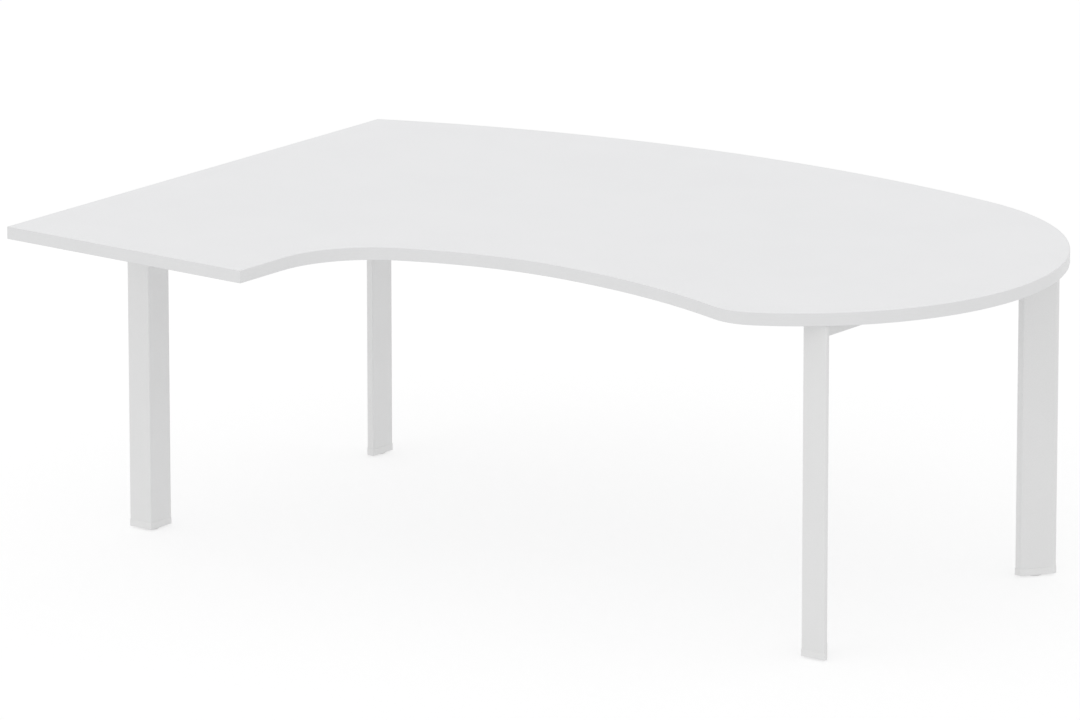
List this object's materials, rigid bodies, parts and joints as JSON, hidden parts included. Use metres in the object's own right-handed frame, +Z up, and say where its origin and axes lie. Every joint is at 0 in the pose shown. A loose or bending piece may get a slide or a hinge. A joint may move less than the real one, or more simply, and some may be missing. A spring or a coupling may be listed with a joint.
{
  "type": "office desk",
  "caption": "Office desk with a curved worktop: a return at the left, a scooped front edge, a rounded meeting end at the right, on a steel frame with angled legs and levelling feet.",
  "frame": {"origin": "bottom centre of the whole desk's box, on the floor", "axes": "+X along the desk towards its rounded end, at the user's right; +Y from the user to the back; +Z up"},
  "size_m": [2, 1.4878, 0.745],
  "materials": {
    "worktop_board": "white melamine on board, fine satin grain",
    "edge_band": "white plastic edging, satin",
    "frame_paint": "white powder coat, fine texture",
    "foot_plastic": "white moulded plastic, satin",
    "foot_pad_plastic": "pale moulded plastic, matt",
    "zinc_steel": "bright zinc plating"
  },
  "bodies": {
    "desk": {"beam_bolts": "zinc_steel", "beam_spacers": "foot_pad_plastic", "edge_band_curved": "edge_band", "edge_band_left": "edge_band", "edge_band_return": "edge_band", "end_plate_front_left": "frame_paint", "end_plate_front_right": "frame_paint", "end_plate_rear_left": "frame_paint", "end_plate_rear_right": "frame_paint", "foot_cap_front_left": "foot_plastic", "foot_cap_front_right": "foot_plastic", "foot_cap_rear_left": "foot_plastic", "foot_cap_rear_right": "foot_plastic", "foot_nuts": "zinc_steel", "frame_screws": "zinc_steel", "leg_front_left": "frame_paint", "leg_front_right": "frame_paint", "leg_plate_front_left": "frame_paint", "leg_plate_front_right": "frame_paint", "leg_plate_rear_left": "frame_paint", "leg_plate_rear_right": "frame_paint", "leg_rear_left": "frame_paint", "leg_rear_right": "frame_paint", "long_beam_front": "frame_paint", "long_beam_rear": "frame_paint", "rivet_nuts": "zinc_steel", "side_beam_left": "frame_paint", "side_beam_right": "frame_paint", "worktop_panel": "worktop_board", "worktop_screws": "zinc_steel"},
    "stud_front_left": {"foot_stud_front_left": "zinc_steel"},
    "pad_front_left": {"foot_pad_front_left": "foot_pad_plastic"},
    "stud_rear_left": {"foot_stud_rear_left": "zinc_steel"},
    "pad_rear_left": {"foot_pad_rear_left": "foot_pad_plastic"},
    "stud_front_right": {"foot_stud_front_right": "zinc_steel"},
    "pad_front_right": {"foot_pad_front_right": "foot_pad_plastic"},
    "stud_rear_right": {"foot_stud_rear_right": "zinc_steel"},
    "pad_rear_right": {"foot_pad_rear_right": "foot_pad_plastic"}
  },
  "joints": [
    {"name": "foot_travel_front_left", "type": "slide", "parent": "desk", "child": "stud_front_left", "axis": [0, 0, -1], "range_m": [0, 0.012]},
    {"name": "foot_turn_front_left", "type": "hinge", "parent": "stud_front_left", "child": "pad_front_left", "pos_m": [-0.9545, -0.33404, 0], "axis": [0, 0, -1], "range_deg": [0, 3600]},
    {"name": "foot_travel_rear_left", "type": "slide", "parent": "desk", "child": "stud_rear_left", "axis": [0, 0, -1], "range_m": [0, 0.012]},
    {"name": "foot_turn_rear_left", "type": "hinge", "parent": "stud_rear_left", "child": "pad_rear_left", "pos_m": [-0.9545, 0.45396, 0], "axis": [0, 0, -1], "range_deg": [0, 3600]},
    {"name": "foot_travel_front_right", "type": "slide", "parent": "desk", "child": "stud_front_right", "axis": [0, 0, -1], "range_m": [0, 0.012]},
    {"name": "foot_turn_front_right", "type": "hinge", "parent": "stud_front_right", "child": "pad_front_right", "pos_m": [0.7715, -0.26004, 0], "axis": [0, 0, -1], "range_deg": [0, 3600]},
    {"name": "foot_travel_rear_right", "type": "slide", "parent": "desk", "child": "stud_rear_right", "axis": [0, 0, -1], "range_m": [0, 0.012]},
    {"name": "foot_turn_rear_right", "type": "hinge", "parent": "stud_rear_right", "child": "pad_rear_right", "pos_m": [0.7715, 0.52796, 0], "axis": [0, 0, -1], "range_deg": [0, 3600]}
  ],
  "couplings": [
    {"joint": "foot_turn_front_left", "follows": "foot_travel_front_left", "rad_per_m": 5026.5},
    {"joint": "foot_turn_rear_left", "follows": "foot_travel_rear_left", "rad_per_m": 5026.5},
    {"joint": "foot_turn_front_right", "follows": "foot_travel_front_right", "rad_per_m": 5026.5},
    {"joint": "foot_turn_rear_right", "follows": "foot_travel_rear_right", "rad_per_m": 5026.5}
  ]
}
